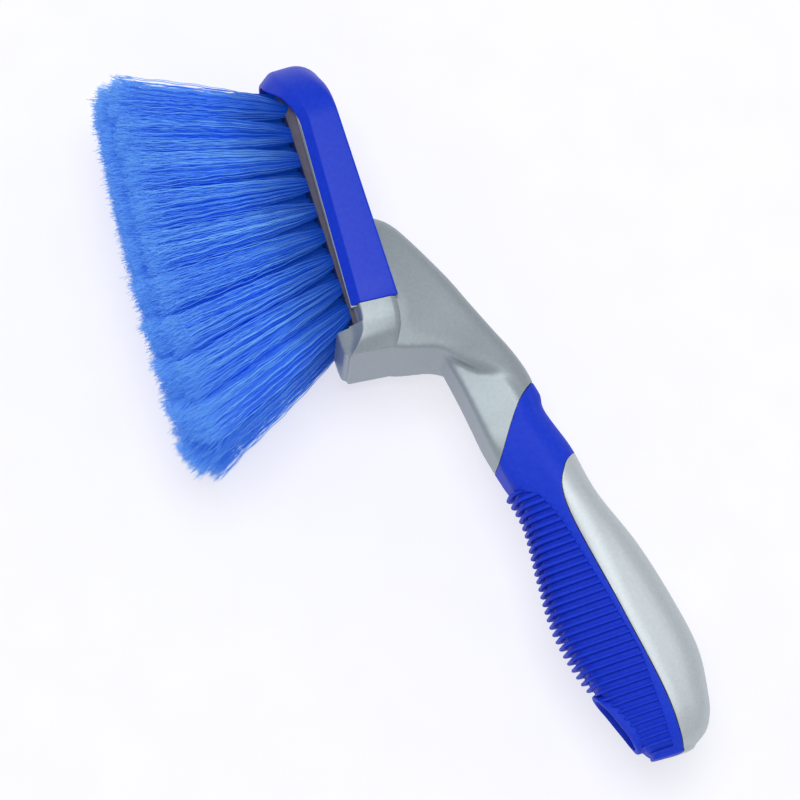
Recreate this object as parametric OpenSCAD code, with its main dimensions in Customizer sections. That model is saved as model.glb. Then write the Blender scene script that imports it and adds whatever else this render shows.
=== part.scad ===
// Short-handled wheel brush, lying on its side.
// Design axes: x runs from the bristle side to the back of the head, y from the handle to the round end
// of the head, z across the brush. x = 0 is the tuft face, y = 0 the handle end of the head and z = 0
// the middle plane. placed() then stands the whole brush on z = 0 with its middle over the origin.

/* [Head] */
// Width of the head over its flat sides
head_width = 60; // [58:1:64]
// Distance from the handle end of the head to the centre of its round end
head_straight = 85.2; // [80:0.1:90]
// Position of the back face of the head
head_back = 18; // [17:0.5:20]
// Thickness of the soft bumper around the head
bumper_wall = 3; // [2:0.5:3.5]
// Position of the bumper's lip at its handle end
lip_start = 0.8; // [0.5:0.1:1.2]
// Position of the lip where the round end begins
lip_end = 3.8; // [3:0.1:4.2]
// Position of the lip at the tip of the head, in front of the tuft face
lip_tip = -4.3; // [-5:0.1:-3]
// Wall of the head shell around the tuft block
shell_wall = 2.5; // [2:0.25:3]
// Position of the shell's rim, just behind the tuft face
rim_x = 3.2; // [3:0.1:3.5]
// Thickness of the drilled tuft block
block_depth = 11.2; // [11:0.1:11.4]

/* [Tufts] */
// Radius of each drilled hole
hole_r = 2.5; // [2:0.1:2.8]
// Depth of each drilled hole
hole_depth = 10; // [8:0.5:11]
// Distance between two tufts in a row
tuft_pitch = 9.86; // [9:0.02:10]
// Distance between two rows
row_pitch = 9.8; // [9:0.1:10]
// Height of the first tuft of a row above the handle end
first_tuft = 15.6; // [14:0.2:17]
// Length of the tallest filaments in front of the tuft face
free_length = 71.8; // [65:0.2:75]
// Radius of a tuft at its tips
tip_r = 6.3; // [5:0.1:6.6]
// Lean of the flank rows' tufts at the round end, away from the handle
lean_round = 17.5; // [15:0.5:20]
// Lean of the tufts nearest the handle, towards it
lean_handle = 24; // [20:0.5:27]
// Sideways lean for each millimetre off the middle plane
lean_side = 0.65; // [0.5:0.05:0.7]

/* [Handle] */
// Thickness of the soft grip over the core
grip_skin = 2.5; // [2:0.25:3]
// Wall of the hollow core under the back cover
core_wall = 3; // [2:0.25:4]
// Number of grip ribs
rib_count = 36; // [20:1:36]
// Distance between two ribs
rib_pitch = 2.88; // [2.6:0.02:2.9]
// Thickness of a rib
rib_t = 1.2; // [0.8:0.1:1.5]
// Height of a rib at the middle of the underside
rib_h = 2.5; // [1:0.25:3.5]
// Position of the first rib
rib_start = -64.4; // [-66:0.2:-64]
// Length of the hang hole along the handle
hang_length = 21; // [16:1:22]
// Width of the hang hole
hang_width = 14; // [8:1:15]
// Wall of the soft sleeve that lines the hang hole
hang_liner = 1.5; // [1:0.25:2]
// Wall of the rim round the hang hole's mouth
rim_wall = 1.8; // [1:0.1:2.5]
// Height of that rim
rim_lift = 2; // [1:0.25:3]
// Middle of the hang hole along the handle
hang_y = -154.5; // [-155:0.5:-152]

/* [Hidden] */
// Middle of the whole brush in the design axes, and the height of its middle plane when it lies down
middle_x = 4.739;
middle_y = -22.996;
middle_z = 41.759;
head_r = head_width / 2;
shell_r = head_r - bumper_wall;
block_r = shell_r - shell_wall;
fit_gap = 0.2;
// Extra width of the head's shell before the bumper's inner face trims it
trim_spare = 1;
// Beyond the brush in every direction
far = 60;
beyond = 200;
// Opening of the shell for the tuft block, just below the first tufts
block_start = first_tuft - 7.2;
// Slope round the front edge of the tuft block
block_chamfer = [3, 2];
ring_points = 24;
// Share of the way from the last station but one to the last at which the core ends
core_reach = 0.7;
// Height of the ribs beside the hang hole, and the first station of the handle where they fall to it
low_rib_h = 0.3;
mouth_station = 9;

// Outer shape of the stem and handle: back x, back y, underside x, underside y, half width,
// squareness of the back and squareness of the underside
handle_stations = [
    [44.0, 0.0, 28.4, -8.0, 13.0, 2.4, 5.0],
    [54.6, -20.4, 31.4, -24.0, 15.6, 2.4, 5.0],
    [58.4, -31.3, 33.0, -36.0, 16.2, 2.4, 4.5],
    [58.3, -38.5, 34.4, -45.0, 16.6, 2.4, 4.0],
    [63.1, -54.0, 37.4, -59.0, 17.0, 2.6, 3.4],
    [67.4, -72.4, 40.8, -75.0, 17.4, 3.0, 2.6],
    [75.5, -95.4, 39.6, -96.0, 18.0, 3.2, 2.6],
    [80.9, -118.4, 39.0, -116.0, 18.2, 3.2, 2.6],
    [83.3, -138.2, 43.0, -136.0, 18.0, 3.2, 2.8],
    [81.3, -155.5, 49.6, -154.5, 17.0, 3.0, 3.0],
    [78.2, -164.0, 53.2, -164.0, 15.0, 2.4, 3.0],
    [71.5, -170.0, 56.5, -169.4, 10.0, 2.4, 3.0]
];

// Outer shape of the cowl that carries the neck out of the back of the head, in the same terms
cowl_stations = [
    [19.5, 47.5, 15.0, 47.0, 20.0, 2.6, 8.0],
    [26.2, 40.5, 15.0, 35.0, 23.5, 2.8, 8.0],
    [38.2, 20.0, 15.0, 8.0, 24.5, 3.0, 8.0],
    [43.8, 7.2, 16.0, -3.2, 24.0, 3.0, 8.0],
    [49.5, -5.3, 26.3, -7.8, 22.4, 2.8, 8.0],
    [53.1, -14.1, 33.2, -13.5, 20.0, 2.6, 7.0],
    [56.2, -22.5, 40.5, -22.4, 16.2, 2.5, 5.0],
    [56.6, -27.8, 46.5, -29.5, 14.2, 2.4, 3.0]
];

// Edge of the soft grip at the neck, from the back to the underside
collar_edge = [[60.5, -25.0], [49.1, -33.7], [37.1, -50.7], [32.7, -58.1]];
// Edge between the soft grip and the back cover, from the thumb rest to the end
cover_edge = [[65.5, -55.8], [57.6, -60.9], [53.8, -75.0], [60.3, -115.0], [66.0, -150.0], [66.8, -174.0]];
// Region of the ribs on the sides of the grip
rib_limit = [
    [30.0, -62.6],
    [39.7, -64.6],
    [43.4, -66.1],
    [46.0, -68.4],
    [48.4, -73.8],
    [50.6, -79.8],
    [57.0, -108.3],
    [62.0, -132.5],
    [63.6, -beyond],
    [30.0, -beyond]
];

// y at which the bumper ends on the head's flat sides for x = 0, and its fall for each mm of x
bumper_end = 15.4;
end_slope = 0.07;
// Round the end, the bumper wraps over the back of the head to this distance from the turning centre
wrap_r = 18.5;
// Bumper's inner face behind the rim as distance from the middle plane and x: on the flat sides, and round
// the end, where it wraps over the shell's back corner
inner_flat = [[shell_r, head_back], [shell_r, head_back - 1], [shell_r, 12], [shell_r, 10]];
inner_round = [[wrap_r, head_back], [wrap_r, 15.2], [24.6, 12.4], [shell_r, 8]];
// Bumper's outer face near the lip as distance from the middle plane and x from the lip
lip_flat = [[shell_r + 0.6, 0], [shell_r + 1.8, 1.6], [head_r, 3.3]];
lip_round = [[shell_r - 1.8, 0], [head_r - 1.8, 3.2], [head_r - 0.7, 7]];
// Bumper's outer face near the back as distance from the middle plane and x
back_flat = [[head_r, head_back - 2], [head_r - 0.6, head_back - 0.6], [head_r - 2, head_back]];
back_round = [[head_r - 0.7, 8.2], [head_r - 3.5, 15], [wrap_r + 1.2, head_back]];
// Round the end the lip reaches in over the shell's rim by over_reach, from a roundness of over_start on
over_reach = 2.4;
over_start = 0.46;
over_span = 0.4;
// Step of the angle round the end
turn_step = 6;
// Angle from the flat sides over which the bumper turns into its round-end shape
round_blend = 58;

// Levels of the hard end of the head, from its underside up to the bumper: y at the nose and at the back,
// x of the nose's front wall, x of the side panel's two edges, and half width
nose_x = -5;
nose_half_width = 22;
end_levels = [
    [-1.0, -3.3, -4.9, -4.1, 11.3, 26.0],
    [-0.4, 0.9, -6.0, -2.6, 12.4, 27.3],
    [1.6, 3.1, -6.5, -0.4, 13.5, 28.5],
    [5.1, 5.0, -6.7, 1.8, 14.3, 29.2],
    [9.0, 8.0, -6.8, 2.7, 14.9, 29.8],
    [9.5, 8.8, -1.0, 2.9, 15.1, 29.9],
    [11.8, 11.0, -0.8, 3.2, 15.2, 30.0],
    [15.5, 13.9, -0.6, 3.4, 15.4, 30.0]
];

function catmull(a, b, c, d, t) =
    0.5 * (2 * b + (c - a) * t + (2 * a - 5 * b + 4 * c - d) * t * t + (3 * b - a - 3 * c + d) * t * t * t);
function spline(p, steps) = [
    for (i = [0 : len(p) - 2], k = [0 : steps - 1])
        catmull(p[max(i - 1, 0)], p[i], p[i + 1], p[min(i + 2, len(p) - 1)], k / steps),
    p[len(p) - 1]
];
function power(v, n) = sign(v) * pow(abs(v), 2 / n);
// One point of a station's outline at angle a, where 0 is the middle of the back
function ring_point(s, a) = let (
    n = cos(a) > 0 ? s[5] : s[6],
    t = (1 + power(cos(a), n)) / 2
) [s[2] + (s[0] - s[2]) * t, s[3] + (s[1] - s[3]) * t, s[4] * power(sin(a), n)];
// The station drawn in by d all round
function inset(s, d) = let (
    span = [s[0] - s[2], s[1] - s[3]],
    step = d * span / norm(span)
) [s[0] - step[0], s[1] - step[1], s[2] + step[0], s[3] + step[1], s[4] - d, s[5], s[6]];

function mix(a, b, w) = a + (b - a) * w;
function limited(v) = max(0, min(1, v));
// 0 on the flat sides and 1 round the end of the head, for an angle off the middle plane
function roundness(angle) = let (t = limited((90 - abs(angle)) / round_blend)) t * t * (3 - 2 * t);
// x of the bumper's lip at a y on the flat sides, and with a roundness
function lip_x(y, w) =
    mix(mix(lip_start, lip_end, (y - bumper_end) / (head_straight - bumper_end)), lip_tip, w);
// Cross-section of the bumper, from the back to the lip on the inside and from the lip to the back outside
function bumper_inner(lip, w) = let (over_rim = limited((w - over_start) / over_span)) concat(
    [for (k = [0 : len(inner_flat) - 1]) mix(inner_flat[k], inner_round[k], w)],
    [
        [shell_r, max(lip + 0.9, rim_x - fit_gap)],
        [shell_r - over_reach * over_rim, mix(lip + 0.3, rim_x - fit_gap, over_rim)]
    ]
);
function bumper_outer(lip, w) = concat(
    [for (k = [0 : len(lip_flat) - 1]) mix(lip_flat[k], lip_round[k], w) + [0, lip]],
    [for (k = [0 : len(back_flat) - 1]) mix(back_flat[k], back_round[k], w)]
);
// Way round the head: angle off the middle plane, y of the turning centre and slope of the end
head_path = concat(
    [[90, bumper_end, end_slope]],
    [for (a = [90 : -turn_step : -90]) [a, head_straight, 0]],
    [[-90, bumper_end, end_slope]]
);
// A point of the cross-section at one place on that way
function round_head(q, p) = [q[1], p[1] - p[2] * q[1] + q[0] * cos(p[0]), q[0] * sin(p[0])];

// Tuft rows: offset from the middle plane in rows, number of tufts, and start along the row in pitches
rows = [[-2, 9, 0], [-1, 9, 0.5], [0, 10, 0], [1, 9, 0.5], [2, 9, 0]];
flank_top = first_tuft + 8 * tuft_pitch;
// Each tuft's y and z, and the y of the last tuft in its row
tuft_places = [
    for (r = rows, i = [0 : r[1] - 1])
        [first_tuft + (i + r[2]) * tuft_pitch, r[0] * row_pitch, first_tuft + (r[1] - 1 + r[2]) * tuft_pitch]
];
// Degrees of lean that a row loses for each millimetre it reaches further round the end
lean_loss = 0.6;
// Above 1, the lean changes faster at the handle end of a row
lean_power = 1.15;
function lean(p) = let (
    most = lean_round - lean_loss * (p[2] - flank_top),
    share = (p[2] - p[0]) / (p[2] - first_tuft)
) (most + lean_handle) * pow(share, lean_power) - most;
// The trimmed tips form a crown: its top is at crown_y, and it falls by crown_fall at crown_reach from there,
// first along the brush and then across it
crown_y = 15;
crown_reach = [100, 42];
crown_fall = [5.5, 9];
function tip_depth(y, z) = free_length
    - crown_fall[0] * pow((y - crown_y) / crown_reach[0], 2)
    - crown_fall[1] * pow(z / crown_reach[1], 2);
function tuft_length(p) = let (
    a = lean(p),
    b = p[1] * lean_side,
    tip_y = p[0] - free_length * tan(a),
    tip_z = p[1] + free_length * tan(b)
) tip_depth(tip_y, tip_z) / (cos(a) * cos(b));

tuft_names = [for (i = [1 : len(tuft_places)]) str("tuft_", i < 10 ? "0" : "", i)];

module placed() {
    translate([-middle_x, -middle_y, middle_z]) children();
}

// A shape drawn in (y, z), made solid from x0 to x1
module along_x(x0, x1) {
    translate([x0, 0, 0]) rotate([90, 0, 90]) linear_extrude(x1 - x0) children();
}

// A shape drawn in (x, y), made solid across the brush to z either side
module across(z) {
    translate([0, 0, -z]) linear_extrude(2 * z) children();
}

// Outline of the head: square at the handle end and round at the far end
module d_outline(r, y0) {
    translate([head_straight, 0]) circle(r, $fn = 96);
    translate([y0, -r]) square([head_straight - y0, 2 * r]);
}

// Solid through a row of closed outlines with the same number of points
module skin(rings) {
    n = len(rings[0]);
    m = len(rings);
    points = [for (r = rings) each r];
    sides = [
        for (i = [0 : m - 2], k = [0 : n - 1]) each [
            [i * n + k, (i + 1) * n + (k + 1) % n, i * n + (k + 1) % n],
            [i * n + k, (i + 1) * n + k, (i + 1) * n + (k + 1) % n]
        ]
    ];
    start_cap = [[for (k = [0 : n - 1]) k]];
    end_cap = [[for (k = [n : -1 : 1]) (m - 1) * n + k % n]];
    polyhedron(points, concat(sides, start_cap, end_cap));
}

// Smooth solid through a row of stations
module loft(stations) {
    skin([for (s = stations) [for (k = [0 : ring_points - 1]) ring_point(s, 360 * k / ring_points)]]);
}

module handle_outer() {
    loft(spline(handle_stations, 2));
}

// The core under the soft grip, which ends short of the grip's end
module handle_inner() {
    last = len(handle_stations) - 1;
    core_end = mix(handle_stations[last - 1], handle_stations[last], core_reach);
    stations = concat([for (i = [0 : last - 1]) handle_stations[i]], [core_end]);
    loft(spline([for (s = stations) inset(s, grip_skin)], 2));
}

// Side region that the soft grip covers
module grip_region() {
    last = len(cover_edge) - 1;
    under = collar_edge[len(collar_edge) - 1];
    edge = concat(
        spline(collar_edge, 4),
        [[0, under[1]], [0, -beyond], [cover_edge[last][0], -beyond]],
        spline([for (i = [last : -1 : 0]) cover_edge[i]], 3),
        [[beyond, cover_edge[0][1]], [beyond, collar_edge[0][1]]]
    );
    across(head_r) polygon(edge);
}

// Region along the back of the handle, past the thumb rest
module cover_region() {
    translate([0, cover_edge[0][1] - beyond, -head_r]) cube([beyond, beyond, head_width]);
}

// Elongated hole right through the handle's end, from the underside to the back
module hang_slot(grow) {
    r = hang_width / 2 + grow;
    reach = hang_length / 2 - hang_width / 2;
    along_x(0, beyond) {
        translate([hang_y - reach, -r]) square([2 * reach, 2 * r]);
        for (side = [-1, 1]) translate([hang_y + side * reach, 0]) circle(r, $fn = 48);
    }
}

// Hollow of the core, open to the back cover
module core_hollow() {
    hollow_span = [5 : 7];
    squareness = 3;
    wall = grip_skin + core_wall;
    hollow = [
        for (i = hollow_span) let (s = inset(handle_stations[i], wall))
            [s[0] + wall, s[1], s[2], s[3], s[4], squareness, squareness]
    ];
    loft(spline(hollow, 2));
}

// Hard end of the head, with its nose towards the bristles bevelled off at both sides
module head_end() {
    corner = 2.6;
    skin([for (e = end_levels) let (
        half = [[e[2], nose_half_width], [e[3], e[5]], [e[4], e[5]], [head_back, e[5] - corner]],
        outline = concat(half, [for (k = [3 : -1 : 0]) [half[k][0], -half[k][1]]])
    ) [for (q = outline) [q[0], mix(e[0], e[1], (q[0] - nose_x) / (head_back - nose_x)), q[1]]]]);
}

// Everything outside the inner face of the bumper
module outside_bumper() {
    skin([for (p = head_path) let (w = roundness(p[0]), inner = bumper_inner(lip_x(p[1], w), w)) [
        for (q = concat([[far, far], [inner[0][0], far]], inner, [[inner[5][0], -far], [far, -far]]))
            round_head(q, p)
    ]]);
}

module head_shell() {
    difference() {
        union() {
            along_x(rim_x, head_back) d_outline(shell_r + trim_spare, block_start);
            head_end();
        }
        along_x(-far, block_depth + fit_gap) d_outline(block_r, block_start);
        outside_bumper();
    }
}

module handle_body() {
    color("lightslategray") difference() {
        union() {
            head_shell();
            difference() {
                union() {
                    loft(spline(cowl_stations, 2));
                    handle_outer();
                }
                grip_region();
                cover_region();
            }
            handle_inner();
        }
        core_hollow();
        hang_slot(hang_liner);
    }
}

module back_cover() {
    color("silver") difference() {
        intersection() {
            handle_outer();
            cover_region();
        }
        grip_region();
        handle_inner();
        hang_slot(hang_liner);
    }
}

// Ribs across the underside of the grip, highest in the middle and low on the sides
module grip_ribs() {
    side_h = 0.9;
    squareness = 2.3;
    crests = [
        for (i = [0 : len(handle_stations) - 1]) let (
            s = handle_stations[i],
            h = i < mouth_station ? rib_h : low_rib_h
        ) [s[0], s[1], s[2] - h, s[3], s[4] + side_h, s[5], squareness]
    ];
    intersection() {
        loft(spline(crests, 2));
        across(head_r) polygon(rib_limit);
        union() for (i = [0 : rib_count - 1])
            translate([0, rib_start - i * rib_pitch - rib_t / 2, -far]) cube([2 * far, rib_t, 2 * far]);
    }
}

// Raised rim round the mouth of the hang hole on the underside
module mouth_rim() {
    side_in = 1;
    raised = [for (s = handle_stations) [s[0], s[1], s[2] - rim_lift, s[3], s[4] - side_in, s[5], s[6]]];
    intersection() {
        loft(spline(raised, 2));
        grip_region();
        hang_slot(rim_wall);
    }
}

module grip_sleeve() {
    color("royalblue") difference() {
        union() {
            difference() {
                union() {
                    intersection() {
                        handle_outer();
                        grip_region();
                    }
                    grip_ribs();
                    mouth_rim();
                }
                handle_inner();
            }
            intersection() {
                handle_outer();
                hang_slot(hang_liner);
            }
        }
        hang_slot(0);
    }
}

module head_bumper() {
    color("mediumblue") skin([for (p = head_path) let (w = roundness(p[0]), lip = lip_x(p[1], w)) [
        for (q = concat(bumper_outer(lip, w), bumper_inner(lip, w))) round_head(q, p)
    ]]);
}

module at_tuft(p) {
    translate([0, p[0], p[1]]) rotate([0, 0, lean(p)]) rotate([0, p[1] * lean_side, 0])
        rotate([0, -90, 0]) children();
}

// Plate in the head's outline, with a slope round its front edge
module block_plate() {
    r = block_r - fit_gap;
    edge = [[0, r - block_chamfer[1]], [block_chamfer[0], r], [block_depth, r]];
    translate([0, head_straight, 0]) rotate([0, 90, 0]) rotate_extrude(angle = 180, $fn = 96)
        polygon(concat([[0, 0]], [for (p = edge) [p[1], p[0]]], [[0, block_depth]]));
    translate([0, block_start + fit_gap, 0]) rotate([-90, 0, 0])
        linear_extrude(head_straight - block_start - fit_gap)
            polygon(concat(edge, [for (k = [2 : -1 : 0]) [edge[k][0], -edge[k][1]]]));
}

module tuft_block() {
    color("dimgray") difference() {
        block_plate();
        for (p = tuft_places) at_tuft(p) translate([0, 0, -hole_depth])
            cylinder(h = far, r = hole_r, $fn = 32);
    }
}

// Flat wire across the root of one tuft, which holds its folded filaments in the hole
module anchor() {
    size = [1.8 * hole_r, 1, 2];
    lift = 0.4;
    translate([-size[0] / 2, -size[1] / 2, lift - hole_depth]) cube(size);
}

module tuft_anchors() {
    color("gainsboro") for (p = tuft_places) at_tuft(p) anchor();
}

module tuft(p) {
    length = tuft_length(p);
    color("dodgerblue") at_tuft(p) difference() {
        rotate_extrude($fn = 32) polygon([
            [0, -hole_depth],
            [hole_r, -hole_depth],
            [hole_r, 1],
            [tip_r, length],
            [0, length]
        ]);
        anchor();
    }
}

placed() handle_body();
placed() back_cover();
placed() grip_sleeve();
placed() head_bumper();
placed() tuft_block();
placed() tuft_anchors();
for (i = [0 : len(tuft_names) - 1])
    placed() tuft(tuft_places[i]);
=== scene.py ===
import math

import bmesh
import bpy
import numpy as np
from mathutils import Matrix, Vector


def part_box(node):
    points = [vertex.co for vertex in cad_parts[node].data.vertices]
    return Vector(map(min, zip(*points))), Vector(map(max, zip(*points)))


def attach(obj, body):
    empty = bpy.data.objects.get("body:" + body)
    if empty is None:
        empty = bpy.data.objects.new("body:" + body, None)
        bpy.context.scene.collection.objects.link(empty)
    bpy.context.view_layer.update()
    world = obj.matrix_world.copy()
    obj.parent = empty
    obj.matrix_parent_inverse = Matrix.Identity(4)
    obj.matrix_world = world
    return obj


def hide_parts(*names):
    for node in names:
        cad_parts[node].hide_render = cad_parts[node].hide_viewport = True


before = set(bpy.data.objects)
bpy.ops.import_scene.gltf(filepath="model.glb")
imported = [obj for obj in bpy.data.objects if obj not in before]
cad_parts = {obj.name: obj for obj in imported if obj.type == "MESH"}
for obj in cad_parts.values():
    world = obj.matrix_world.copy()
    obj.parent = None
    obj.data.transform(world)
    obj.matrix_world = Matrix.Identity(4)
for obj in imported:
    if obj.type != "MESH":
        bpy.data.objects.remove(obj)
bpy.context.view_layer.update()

# Design axes in mm: x runs from the bristle side to the back of the head, y from the handle to the round end
# of the head, and z across the brush. x = 0 is the tuft face and z = 0 the middle plane.
MM = 0.001
# An arc at a corner takes up to this share of each edge beside it
ARC_SHARE = 0.49
# Points closer than WELD are joined, and faces thinner than SLIVER are dissolved, before edges are rounded
WELD = 0.02
SLIVER = 0.01
SHARP_ANGLE = 35.0
EDGE_SEGMENTS = 2

# ---------------------------------------------------------------- sizes of the head

HEAD_R = 30.0
HEAD_STRAIGHT = 85.2
HEAD_BACK = 18.0
BACK_EDGE = 0.4
# Angle from the flat sides over which the head's section changes to that of its round end
ROUND_BLEND = 58.0

SHELL_R = 27.0
SHELL_START = 15.1
SHELL_GAP = 0.05
WRAP_R = 18.5
# x and radius of the tray's wall where it starts to draw in, half way and at its end: on the flat sides,
# and round the end, where the bumper wraps over it
WALL_FLAT = np.array([[9.5, SHELL_R], [12.0, SHELL_R], [17.0, SHELL_R]])
WALL_ROUND = np.array([[8.0, SHELL_R], [12.4, 24.6], [15.2, WRAP_R]])
RIM_X = 3.2
# Rounded rim of the tray: distance below its edge, and how far the wall is drawn in there
RIM_EDGE = [(0.0, 0.35), (0.1, 0.1), (0.35, 0.0)]
# The rim slopes with the bumper's lip, and the slope fades out to nothing at FOLLOW_END
LIP_COVER = 0.3
RIM_RISE = 0.3
FOLLOW_END = 8.0
FOLLOW_SPAN = 4.0
TRAY_LEVELS = [7.8, 10.0, 11.4, 12.6, 13.8, 15.2, 16.5]
TRAY_STOPS = 61

BUMPER_END = 15.4
END_SLOPE = 0.07
# x of the bumper's lip at both ends of the flat sides, and at the tip of the head
LIP_START = 0.8
LIP_END = 3.8
LIP_TIP = -4.3
# Round the end the bumper reaches in over the rim of the tray
OVER_REACH = 2.4
OVER_START = 0.46
OVER_SPAN = 0.4
ROUND_INSET = 0.7
CHAMFER_END = 7.8
CORNER_STOPS = 9
# Small steps of the bumper's inner side, where its lip turns in over the tray's rim
LIP_STEP = 0.6
LIP_RUN = 0.3
LIP_DRAFT = 0.02
RIM_TUCK = 0.1
LINING_CORNERS = [0.1, 0.1, 0.25]
# These change from the flat sides, first value, to the round end, second value
LIP_WIDTH = (0.6, 1.2)
CHAMFER_DEPTH = (3.3, 4.8)
LIP_CORNER = (0.4, 2.0)
CHAMFER_CORNER = (0.8, 4.0)
BACK_CORNER = (0.8, 10.0)
# Rounded end of the bumper: distance from its end, and how far the section shrinks there
BUMPER_ROUND = [(0.0, 0.12), (0.12, 0.04), (0.35, 0.0)]
STRAIGHT_RINGS = 9
ROUND_RINGS = 37

# Levels of the hard end of the head, from the bumper down to the underside: share of the way, y at NOSE_X and
# at the back, x of the panel's two edges, and half width
END_LEVELS = [
    [0.0, 15.55, 13.94, 3.4, 15.2, 30.0],
    [0.3, 11.8, 11.0, 3.2, 15.2, 30.0],
    [0.47, 9.0, 8.0, 2.7, 14.9, 29.8],
    [0.63, 5.1, 5.0, 1.8, 14.3, 29.2],
    [0.78, 1.9, 2.8, -0.4, 13.5, 28.5],
    [0.89, 0.1, 0.4, -2.4, 12.4, 27.3],
    [1.0, -0.9, -3.3, -4.4, 11.3, 26.0],
]
END_STEPS = 5
NOSE_X = -5.0
NOSE_HALF = 22.0
# Share of the way down where the nose starts, and its x above there
NOSE_TOP = 0.45
NOSE_ROOT = -0.8
# Share of the way down, and x of the nose there
NOSE_WALL = [[0.0, -6.8], [0.7, -6.7], [0.85, -6.4], [0.94, -5.8], [1.0, -4.9]]
NOSE_LEDGE = 0.02
SCOOP = 0.9
# Back edge of the panel: x of its two corners behind the edge, and how far the second lies in
PANEL_BACK = (1.6, 2.2)
PANEL_IN = 7.0
END_CORNERS = [1.2, 5.0, 0.8, 2.4, 1.0, 0.5]
END_EDGE = 0.5

BLOCK_R = 24.3
BLOCK_START = 8.6
BLOCK_DEPTH = 11.2
BLOCK_GAP = 0.2
BLOCK_CHAMFER = 2.0
CHAMFER_LEVEL = 3.0
BLOCK_STOPS = 49

# ---------------------------------------------------------------- sizes of the handle

# Stations: back x and y, underside x and y, half width of the flat underside, height share and half width of
# the side, half width of the back, and the radii of the three corners
HANDLE = [
    [43.0, 0.0, 28.4, -8.0, 13.0, 0.7, 14.0, 8.0, 1.5, 6.0, 7.0],
    [54.6, -20.4, 31.4, -24.0, 14.2, 0.7, 16.4, 9.0, 1.5, 6.0, 7.0],
    [58.4, -31.3, 33.0, -36.0, 14.2, 0.7, 16.8, 10.0, 2.0, 7.0, 8.0],
    [58.3, -38.5, 34.2, -45.0, 14.2, 0.7, 17.0, 10.0, 2.5, 8.0, 9.0],
    [63.1, -54.0, 37.0, -59.0, 11.6, 0.65, 17.4, 12.0, 5.0, 11.0, 11.0],
    [66.4, -72.8, 40.8, -75.0, 9.8, 0.6, 17.8, 14.5, 10.0, 14.0, 13.0],
    [74.8, -95.7, 39.8, -96.0, 10.0, 0.55, 18.2, 16.4, 11.0, 16.0, 14.0],
    [80.4, -118.6, 39.2, -116.0, 10.0, 0.55, 18.4, 16.8, 12.0, 16.0, 14.0],
    [83.3, -138.2, 43.0, -136.0, 10.5, 0.55, 18.2, 16.6, 11.0, 15.0, 14.0],
    [81.3, -155.5, 49.6, -154.5, 10.5, 0.55, 17.2, 15.4, 9.0, 12.0, 12.0],
    [79.2, -162.6, 53.0, -163.4, 9.5, 0.55, 15.2, 13.0, 7.0, 9.0, 9.0],
    [76.6, -166.6, 54.4, -167.0, 8.0, 0.55, 13.0, 10.5, 5.0, 6.0, 6.0],
    [72.0, -169.8, 56.0, -169.3, 6.0, 0.55, 9.5, 7.5, 4.0, 4.0, 4.0],
]
COWL = [
    [19.5, 47.5, 12.5, 47.0, 20.0, 0.3, 20.0, 16.0, 1.0, 30.0, 6.0],
    [26.2, 40.5, 12.5, 35.0, 24.4, 0.3, 24.2, 20.0, 1.0, 30.0, 6.0],
    [37.4, 19.6, 12.5, 9.0, 26.4, 0.3, 25.6, 21.0, 1.0, 30.0, 6.0],
    [43.1, 6.8, 9.5, -2.2, 26.0, 0.3, 25.0, 20.4, 0.8, 30.0, 6.0],
    [48.9, -5.6, 26.3, -7.8, 22.8, 0.3, 22.0, 18.0, 0.8, 30.0, 6.0],
    [53.1, -14.1, 33.2, -13.5, 19.8, 0.3, 19.4, 16.0, 0.8, 30.0, 6.0],
    [56.2, -22.5, 41.5, -22.4, 14.0, 0.4, 16.9, 13.6, 3.0, 30.0, 6.0],
    [57.4, -29.8, 47.0, -31.8, 13.0, 0.5, 16.6, 12.0, 4.0, 20.0, 6.0],
]
LOFT_STEPS = 8
CORE_STEPS = 4
TOOL_STEPS = 6
HANDLE_ROUND = 1.5
COWL_ROUND = 2.0
# The core stops this many stations before the handle's end
CORE_SHORT = 2
# Depth of the core below the outside, and the share of it that the back draws in
GRIP_SKIN = 2.5
CROWN_INSET = 0.8
# The cowl and the stem are cut off at NECK_CUT, blended as one, and cut again at NECK_END
NECK_VOXEL = 0.7
NECK_PASSES = 14
NECK_CUT = -62.0
NECK_END = -53.0
COVER_START = -54.0
# x and y that lie clear of the handle on its underside, back and end
CLEAR_UNDER = 20.0
CLEAR_BACK = 90.0
CLEAR_END = -200.0
CLEAR_SIDE = 8.0

# Edges of the soft grip and of the ribs, seen from the side, in x and y. COLLAR_BACK, GRIP_START and GRIP_END
# lie clear of the handle.
COLLAR_EDGE = [[60.5, -25.0], [49.1, -33.7], [37.1, -50.7], [32.7, -58.1]]
COLLAR_BACK = [[82.0, -50.0], [82.0, -20.0]]
COVER_EDGE = [[65.5, -55.8], [57.6, -60.9], [53.8, -75.0], [60.3, -115.0], [66.0, -150.0], [66.8, -174.0]]
COVER_SLANT = 0.3
COVER_STEPS = 10
GRIP_START = -60.0
GRIP_END = -185.0
PARTING = 0.2
EDGE_ROUND = 0.25
RIB_EDGE = [[30.0, -62.6], [39.7, -64.6], [43.4, -66.1], [46.0, -68.4], [48.4, -73.8], [50.6, -79.8],
            [57.0, -108.3], [62.0, -132.5], [63.2, -168.0]]
FIELD_DEPTH = 1.4
FIELD_END = -168.0
RIB_COUNT = 36
RIB_PITCH = 2.88
RIB_START = -64.4
RIB_END = -172.0
RIB_ROOT = 0.4
RIB_SPARE = 3.0
RIB_THICK = (1.5, 1.0)
# Distance along the handle, and height of the ribs there: they are low beside the hang hole
RIB_HEIGHTS = [[60.0, 2.3], [90.0, 2.7], [134.0, 2.7], [146.0, 0.3], [164.0, 0.3], [166.0, 1.5]]
# What the ribs add to the half widths of the underside and side, and to the underside's corner
RIB_SWELL = (0.2, 0.1, 1.0)
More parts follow.
